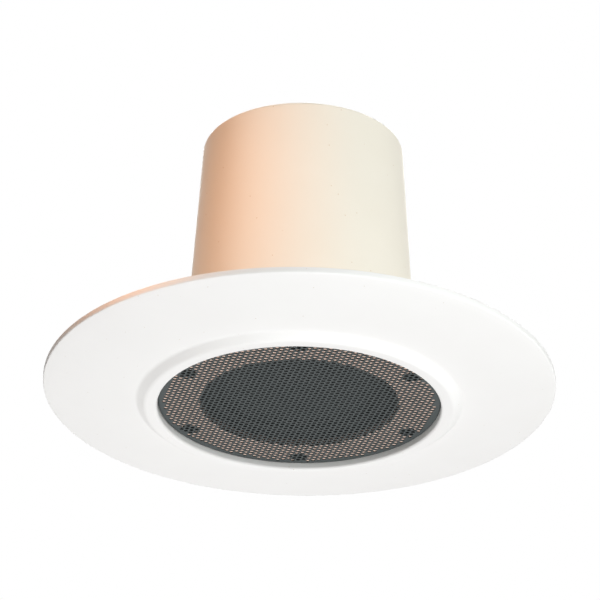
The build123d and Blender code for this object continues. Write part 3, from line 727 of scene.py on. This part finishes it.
def makeGrille(shape):
    front, outer = grilleLow.z, grilleHigh.x
    profile = [
        (shape["plainEdge"], front, 0),
        (outer, front, shape["skirtRound"]),
        (outer, front + shape["skirt"], 0),
    ]
    skirt = lathe("grilleSheet", rounded(profile, closed=False, steps=shape["bendSteps"]), shape["steps"])
    rowPitch = shape["pitch"] * math.sin(math.radians(shape["rowAngle"]))
    reach = shape["field"] - shape["hole"] / 2
    pieces = [skirt]
    for number in range(-int(reach / rowPitch), int(reach / rowPitch) + 1):
        across = number * rowPitch
        shift = number % 2 / 2
        half = math.sqrt(reach ** 2 - across ** 2) / shape["pitch"]
        first, last = math.ceil(-half - shift), math.floor(half - shift)
        row = makeHoleRow("holeRow", last - first + 1, shape)
        place(row, (across, (first + shift) * shape["pitch"], front))
        place(row, (0, 0, 0), shape["rowTurn"])
        pieces.append(row)
    grille = joined(pieces)
    startEdit(grille)
    bpy.ops.mesh.remove_doubles(threshold=shape["rowWeld"] * mm)
    bpy.ops.mesh.select_mode(type="EDGE")
    bpy.ops.mesh.select_all(action="DESELECT")
    bpy.ops.mesh.select_non_manifold(
        use_wire=False, use_multi_face=False, use_non_contiguous=False, use_verts=False
    )
    endEdit()
    points = grille.data.vertices
    flatFrom = (front + shape["frontDepth"]) * mm
    rimEdge = shape["pitch"] / 4 * mm  # hole edges are shorter than this, the border's are longer
    for edge in grille.data.edges:
        here, there = (points[index].co for index in edge.vertices)
        inFront = max(here.z, there.z) < flatFrom
        edge.select = edge.select and inFront and (here - there).length > rimEdge
    for point in points:
        point.select = False
    bpy.ops.object.mode_set(mode="EDIT")
    bpy.ops.mesh.fill()
    bpy.ops.mesh.select_mode(type="VERT")
    bpy.ops.mesh.select_all(action="SELECT")
    bpy.ops.mesh.normals_make_consistent(inside=False)
    endEdit()
    if next(face for face in grille.data.polygons if face.center.z < flatFrom).normal.z > 0:
        startEdit(grille)
        bpy.ops.mesh.flip_normals()
        endEdit()
    applied(grille, "SOLIDIFY", thickness=shape["sheet"] * mm, offset=-1, use_even_offset=True)
    fitOut(grille, "grille_black", "enclosure", "grille")


makeGrille(grilleShape)
print("grille modelled")


# Bezel: domed face, collar, ledge behind the grille, spigot and back ribs
bezelShape = {
    "rimHeight": 2.8, "rimLand": 3.5, "rimRound": 0.8,
    "faceDrop": 9.2, "faceBow": 0.8, "bowSteps": (9, 6), "skin": 2.4,
    "rampWidth": 3.8, "rampRound": 3.0, "crownWidth": 6.05, "lipRound": 1.5,
    "grilleFit": 0.15, "grooveWidth": 0.8, "grooveDepth": 2.6,
    "throatStep": 0.25, "spigotStep": 0.8, "spigotRound": 0.5,
    "ledgeThick": 3.5, "ledgeHole": 46.6, "edgeRound": 0.3,
    "ribs": 12, "ribThick": 1.6, "ribDrop": 0.6,
    "sinkRadius": 4.65, "sinkSteps": 40, "screwHole": 2.2,
    "pilots": 4, "pilotAngle": 45.0, "pilotRadius": 1.45, "pilotDepth": 2.9, "pilotCircle": 49.6,
    "steps": 256,
}
frontScrews = 6
canScrewAngle = 30.0
clampAngles = (90.0, 210.0, 330.0)
bezelLow, bezelHigh = corners("bezel")
screwLow, screwHigh = corners("clamp_screw_1")
screwCircle = (screwLow.y + screwHigh.y) / 2
ledgeFront = grilleLow.z + grilleShape["sheet"]
ledgeBack = ledgeFront + bezelShape["ledgeThick"]


def makeBezel(shape):
    rim, crown, spigotTop, edge = bezelHigh.x, bezelLow.z, bezelHigh.z, shape["edgeRound"]
    opening = grilleHigh.x + shape["grilleFit"]
    crownOut = opening + shape["crownWidth"]
    foot = crownOut + shape["rampWidth"]
    spigotIn = opening + shape["throatStep"]
    spigotOut = spigotIn + shape["skin"]
    throat = spigotOut + shape["spigotStep"]
    groove = grilleHigh.x - shape["grooveWidth"]
    grooveTop = grilleLow.z + shape["grooveDepth"]
    land, skin = rim - shape["rimLand"], shape["skin"]
    rimEdge, footEdge = (rim, -shape["rimHeight"]), (foot, -shape["faceDrop"])
    backLean, rimSkin = skin / 3, skin * 0.75  # the back follows the ramp, and thins at the rim
    backRim = (land, -shape["rimHeight"] + rimSkin)
    backFoot = (foot - backLean, -shape["faceDrop"] + skin)
    faceSteps, backSteps = shape["bowSteps"]
    outline = [
        (land, 0, edge),
        (rim, 0, edge),
        (*rimEdge, shape["rimRound"]),
        *bowed(rimEdge, footEdge, shape["faceBow"], faceSteps),
        (*footEdge, shape["rampRound"]),
        (crownOut, crown, shape["rampRound"]),
        (opening, crown, shape["lipRound"]),
        (opening, grooveTop, 0),
        (groove, grooveTop, 0),
        (groove, ledgeFront, edge),
        (shape["ledgeHole"], ledgeFront, edge),
        (shape["ledgeHole"], ledgeBack, 0),
        (spigotIn, ledgeBack, 0),
        (spigotIn, spigotTop, edge),
        (spigotOut, spigotTop, shape["spigotRound"]),
        (spigotOut, 0, 0),
        (throat, 0, edge),
        (throat, crown + skin, 0),
        (crownOut - backLean, crown + skin, 0),
        (*backFoot, 0),
        *bowed(backFoot, backRim, shape["faceBow"], backSteps),
        (*backRim, 0),
    ]
    bezel = lathe("bezelPlate", rounded(outline), shape["steps"])
    half, sunk = shape["ribThick"] / 2, skin / 2
    rib = plate(
        "bezelRib",
        [
            (throat - sunk, -half, -shape["ribDrop"]),
            (land + sunk / 2, -half, -shape["ribDrop"]),
            (land + sunk / 2, -half, -shape["rimHeight"] + sunk / 2),
            (foot - sunk, -half, -shape["faceDrop"] + sunk),
            (crownOut - sunk, -half, crown + sunk),
            (throat - sunk, -half, crown + sunk),
        ],
        (0, shape["ribThick"], 0),
    )
    place(rib, (0, 0, 0), 180 / shape["ribs"])
    ringOf(rib, shape["ribs"])
    combine(bezel, rib, "UNION")
    sink = lathe(
        "sinkTool",
        [
            (0, ledgeFront - past),
            (shape["sinkRadius"] + past, ledgeFront - past),
            (shape["screwHole"], ledgeFront + shape["sinkRadius"] - shape["screwHole"]),
            (shape["screwHole"], ledgeBack + past),
            (0, ledgeBack + past),
        ],
        shape["sinkSteps"],
    )
    place(sink, around(screwCircle, canScrewAngle))
    ringOf(sink, frontScrews)
    combine(bezel, sink, "DIFFERENCE")
    pilot = drill(
        "pilotTool", shape["pilotRadius"], ledgeBack - shape["pilotDepth"], ledgeBack + past,
        around(shape["pilotCircle"], shape["pilotAngle"]),
    )
    ringOf(pilot, shape["pilots"])
    combine(bezel, pilot, "DIFFERENCE")
    fitOut(bezel, "white_abs", "enclosure", "bezel")


makeBezel(bezelShape)
print("bezel modelled")


# Back can: tapered pot with a foot flange, screw bosses and clamp fins
canShape = {
    "wall": 2.5, "draft": 3.28, "topRound": 2.5, "footRound": 1.2, "edgeRound": 0.4,
    "flangeThick": 3.0, "mouth": 53.25,
    "bossRadius": 4.6, "bossTop": 9.0, "bossWeb": 3.0, "bossPilot": 2.0, "pilotTop": 6.2,
    "finThick": 2.2, "finTop": 29.5, "finChamfer": 4.0, "finInner": 4.6, "finRound": 0.4,
    "flangeHole": 2.2, "tailSlot": (3.4, 1.2), "tailPlace": (4.75, 4.5), "earPlace": 14.5, "earPilot": 1.45,
    "earBoss": 3.2, "earBossDepth": 6.0, "earBossLid": 1.0,
    "roundSteps": 8, "steps": 224, "shade": 30,
}


def makeCan(shape):
    canLow, canHigh = corners("back_can")
    flange, top, foot = canHigh.x, canHigh.z, canLow.z
    flangeTop = foot + shape["flangeThick"]
    slope = math.tan(math.radians(shape["draft"]))
    base = shape["mouth"] + shape["wall"] + foot * slope
    ceiling = top - shape["wall"]

    def wallRadius(height):
        return base - height * slope

    outline = [
        (0, ceiling, 0),
        (wallRadius(ceiling) - shape["wall"], ceiling, shape["topRound"] / 2),
        (shape["mouth"], foot, 0),
        (flange, foot, shape["edgeRound"]),
        (flange, flangeTop, shape["edgeRound"]),
        (wallRadius(flangeTop), flangeTop, shape["footRound"]),
        (wallRadius(top), top, shape["topRound"]),
        (0, top, 0),
    ]
    can = lathe("canShell", rounded(outline, closed=False, steps=shape["roundSteps"]), shape["steps"])
    finFoot = bossFoot = foot + shape["flangeThick"] / 2
    fin = plate(
        "canFin",
        [
            (wallRadius(foot) - shape["wall"] / 2, shape["finInner"], finFoot),
            (flange, shape["finInner"], finFoot),
            (flange, shape["finInner"], shape["finTop"] - shape["finChamfer"]),
            (flange - shape["finChamfer"], shape["finInner"], shape["finTop"]),
            (wallRadius(shape["finTop"]) - shape["wall"] * 0.75, shape["finInner"], shape["finTop"]),
        ],
        (0, shape["finThick"], 0),
    )
    soften(fin, shape["finRound"])
    place(fin, (0, 0, 0), clampAngles[0])
    ringOf(fin, len(clampAngles))
    combine(can, fin, "UNION")
    boss = drill("canBoss", shape["bossRadius"], bossFoot, shape["bossTop"], (screwCircle, 0))
    soften(boss, shape["edgeRound"])
    web = block(
        "bossWeb", (wallRadius(0) - shape["wall"] / 2, -shape["bossWeb"] / 2, bossFoot),
        (screwCircle, shape["bossWeb"] / 2, shape["bossTop"] - shape["edgeRound"]),
    )
    combine(boss, web, "UNION")
    place(boss, (0, 0, 0), canScrewAngle)
    ringOf(boss, len(clampAngles))
    combine(can, boss, "UNION")
    earFoot, earTop = ceiling - shape["earBossDepth"], top - shape["earBossLid"]
    ears = [
        drill("earBoss", shape["earBoss"], earFoot, earTop, (side * shape["earPlace"], 0))
        for side in (-1, 1)
    ]
    combine(can, joined(ears), "UNION")
    bossPlace, holePlace = around(screwCircle, canScrewAngle), around(screwCircle, clampAngles[0])
    bossPilot = drill("bossPilot", shape["bossPilot"], foot - past, shape["pilotTop"], bossPlace)
    ringOf(bossPilot, len(clampAngles))
    flangeHole = drill("flangeHole", shape["flangeHole"], foot - past, flangeTop + past, holePlace)
    ringOf(flangeHole, len(clampAngles))
    tools = [bossPilot, flangeHole]
    for side in (-1, 1):
        tools.append(drill(
            "earPilot", shape["earPilot"], earFoot - past, top + past, (side * shape["earPlace"], 0)
        ))
        wide, thick = shape["tailSlot"]
        across, back = side * shape["tailPlace"][0], shape["tailPlace"][1]
        tools.append(block(
            "tailSlot",
            (across - wide / 2, back - thick / 2, ceiling - past),
            (across + wide / 2, back + thick / 2, top + past),
        ))
    combine(can, joined(tools), "DIFFERENCE")
    fitOut(can, "cream_abs", "enclosure", "back_can", angle=shape["shade"])


makeCan(canShape)
print("can modelled")


# Front screws: black countersunk heads with a cross recess and a rolled thread
frontScrewShape = {
    "headRadius": 4.0, "headLand": 0.25, "headRound": 0.12,
    "shankRadius": 1.95, "neckRound": 0.4, "shankEnd": 0.8, "rootStart": 1.2,  # from the neck
    "rootRadius": 1.5, "threadStart": 1.0, "threadPitch": 1.4, "threadSunk": 0.15, "threadSteps": 24,
    "flanks": (0.4, 0.5, 0.9),  # crest's two edges and the far foot, as shares of the pitch
    "recessLength": 4.4, "recessWidth": 1.0, "recessDepth": 1.1, "tipLength": 1.4, "tipRound": 0.3,
    "canScrewTip": 6.0, "roundSteps": 4, "steps": 48,
}


def makeThread(shape, fromZ, toZ):
    pitch, crest = shape["threadPitch"], shape["shankRadius"]
    sunk = shape["rootRadius"] - shape["threadSunk"]
    turns = int((toZ - fromZ) / pitch) - 1
    rise, fall, foot = (fromZ + pitch * share for share in shape["flanks"])
    outline = [(sunk, 0, fromZ), (crest, 0, rise), (crest, 0, fall), (sunk, 0, foot)]
    thread = drawLine("threadCoil", [*outline, outline[0]])
    startEdit(thread)
    bpy.ops.mesh.remove_doubles(threshold=weld)
    endEdit()
    applied(
        thread, "SCREW", axis="Z", angle=math.tau, screw_offset=pitch * mm, iterations=turns,
        steps=shape["threadSteps"], render_steps=shape["threadSteps"], use_merge_vertices=False,
    )
    startEdit(thread)
    bpy.ops.mesh.fill_holes(sides=4)
    endEdit()
    closeUp(thread)
    return thread


def makeFrontScrew(name, tip, shape):
    head = screwLow.z
    cone = head + shape["headLand"]
    neck = cone + shape["headRadius"] - shape["shankRadius"]
    profile = [
        (0, head, 0),
        (shape["headRadius"], head, shape["headRound"]),
        (shape["headRadius"], cone, 0),
        (shape["shankRadius"], neck, shape["neckRound"]),
        (shape["shankRadius"], neck + shape["shankEnd"], 0),
        (shape["rootRadius"], neck + shape["rootStart"], 0),
        (shape["rootRadius"], tip - shape["tipLength"], 0),
        (shape["rootRadius"] / 2, tip, shape["tipRound"]),
        (0, tip, 0),
    ]
    screw = lathe(name, rounded(profile, closed=False, steps=shape["roundSteps"]), shape["steps"])
    thread = makeThread(shape, neck + shape["threadStart"], tip - shape["tipLength"] / 2)
    combine(screw, thread, "UNION")
    long, wide = shape["recessLength"] / 2, shape["recessWidth"] / 2
    above, below = head - past, head + shape["recessDepth"]
    cross = block("recessTool", (-long, -wide, above), (long, wide, below))
    combine(cross, block("recessBar", (-wide, -long, above), (wide, long, below)), "UNION")
    combine(screw, cross, "DIFFERENCE")
    return screw


def makeFrontScrews(shape):
    for number, angle in enumerate(clampAngles, start=1):
        screw = makeFrontScrew(f"clampScrew{number}", screwHigh.z, shape)
        place(screw, around(screwCircle, angle), angle)
        fitOut(screw, "black_screw", f"clamp_{number}_screw", f"clamp_screw_{number}")
    canScrews = makeFrontScrew("canScrews", shape["canScrewTip"], shape)
    place(canScrews, around(screwCircle, canScrewAngle), canScrewAngle)
    ringOf(canScrews, len(clampAngles))
    fitOut(canScrews, "black_screw", "enclosure", "can_screws")


makeFrontScrews(frontScrewShape)
print("front screws modelled")


# Cone: pressed paper with concentric stiffening ripples
coneShape = {
    "edge": (37.2, -1.25), "throat": (13.25, 9.2), "bow": 1.0, "thick": 0.7,
    "ripples": 5, "rippleHeight": 0.14, "runs": 60, "steps": 160,
}


def makeCone(shape):
    edge, throat = Vector(shape["edge"]), Vector(shape["throat"])
    centre = []
    for run in range(shape["runs"] + 1):
        share = run / shape["runs"]
        point = edge.lerp(throat, share)
        sag = 4 * shape["bow"] * share * (1 - share)
        fade = math.sin(share * math.pi)  # no ripple at edge and throat
        ripple = shape["rippleHeight"] * math.sin(share * shape["ripples"] * math.tau) * fade
        centre.append((point.x, point.y - sag + ripple))
    cone = lathe("speakerCone", ribbon(centre, shape["thick"]), shape["steps"])
    fitOut(cone, "cone_paper", "cone_assembly", "cone")


makeCone(coneShape)
print("cone modelled")


# Voice coil: round wire wound turn by turn
coilShape = {"wireRadius": 0.14, "formerGap": 0.05, "pointsPerTurn": 4, "steps": 120, "shade": 60}


def makeWinding(shape):
    low, high = corners("coil_winding")
    inner = corners("coil_former")[1].x + shape["formerGap"]
    wire = shape["wireRadius"]
    turns = int((high.z - low.z) / (2 * wire))
    end = low.z + turns * 2 * wire
    profile = [(inner, low.z)]
    for turn in range(turns):
        middle = low.z + wire + turn * 2 * wire
        for step in range(shape["pointsPerTurn"]):
            angle = math.pi * (step / shape["pointsPerTurn"] - 0.5)
            profile.append((high.x - wire + wire * math.cos(angle), middle + wire * math.sin(angle)))
    profile += [(high.x - wire, end), (inner, end), (inner, low.z)]
    winding = lathe("coilWinding", profile, shape["steps"])
    fitOut(winding, "copper_wire", "cone_assembly", "coil_winding", angle=shape["shade"])


makeWinding(coilShape)
print("voice coil wound")


# Suspension: each ring is made of equal sectors, each a piece of its own
surroundShape = {
    "line": [                # radius, height and rounding, from the frame's seat to the cone's edge
        (44.6, -2.0, 0), (42.6, -2.0, 0.7), (41.4, -4.6, 1.4),
        (38.2, -4.6, 1.4), (37.4, -2.1, 0.7), (35.0, -1.33, 0),
    ],
    "thick": 0.6, "sectors": 24, "steps": 6, "still": 42.0, "moving": 37.5, "shade": 50,
}
spiderShape = {
    "flatOut": 29.5, "flatIn": 12.9, "waveOut": 23.3, "waveIn": 15.1, "waves": 4, "waveHeight": 0.76,
    "level": 10.75, "runs": 64,
    "thick": 0.5, "sectors": 24, "steps": 5, "still": 23.0, "moving": 14.9, "shade": 50,
}


def makeSectors(name, line, shape, slot, node):
    turn = math.tau / shape["sectors"]
    section = ribbon(line, shape["thick"])
    for number in range(shape["sectors"]):
        sector = lathe(f"{name}{number + 1:02d}", section, shape["steps"], turn)
        startEdit(sector)
        bpy.ops.mesh.fill_holes(sides=0)
        bpy.ops.mesh.normals_make_consistent(inside=False)
        endEdit()
        place(sector, (0, 0, 0), number * 360 / shape["sectors"])
        dress(sector, slot, shape["shade"])
        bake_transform(sector)
        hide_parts(node)


def spiderLine(shape):
    points = [(shape["flatOut"], shape["level"])]
    for run in range(shape["runs"] + 1):
        share = run / shape["runs"]
        radius = shape["waveOut"] + (shape["waveIn"] - shape["waveOut"]) * share
        dip = shape["waveHeight"] * (1 - math.cos(share * shape["waves"] * math.tau)) / 2
        points.append((radius, shape["level"] - dip))
    return [*points, (shape["flatIn"], shape["level"])]


surroundLine = rounded(surroundShape["line"], closed=False)
makeSectors("surroundSector", surroundLine, surroundShape, "surround_rubber", "surround")
makeSectors("spiderSector", spiderLine(spiderShape), spiderShape, "spider_cloth", "spider")
print("suspension modelled")


# Pieces that keep the form of their nodes, each with its name and the softening of its edges
carriedPieces = {
    "can_gasket": ("canGasket", 0.2),
    "driver_gasket": ("driverGasket", 0.2),
    "driver_frame": ("driverFrame", 0.0),
    "driver_screws": ("driverScrews", 0.0),
    "dust_cap": ("dustCap", 0.0),
    "coil_former": ("coilFormer", 0.0),
    "top_plate": ("topPlate", 0.3),
    "magnet": ("magnetRing", 0.2),
    "yoke": ("yokePole", 0.0),
    "tag_board": ("tagBoard", 0.15),
    "solder_tags": ("solderTags", 0.08),
    "board_rivets": ("boardRivets", 0.12),
    "terminal_block": ("terminalBlock", 0.3),
    "terminal_plates": ("terminalPlates", 0.1),
    "terminal_screws": ("terminalScrews", 0.0),
    "block_screws": ("blockScrews", 0.0),
    "lead_red": ("redLead", 0.0),
    "lead_black": ("blackLead", 0.0),
}
for number in range(1, len(clampAngles) + 1):
    carriedPieces[f"clamp_washer_{number}"] = (f"clampWasher{number}", 0.12)
    carriedPieces[f"clamp_dog_{number}"] = (f"clampDog{number}", 0.35)
for node, (name, soft) in carriedPieces.items():
    carryOver(name, node, soft)
print("carried pieces:", len(carriedPieces))
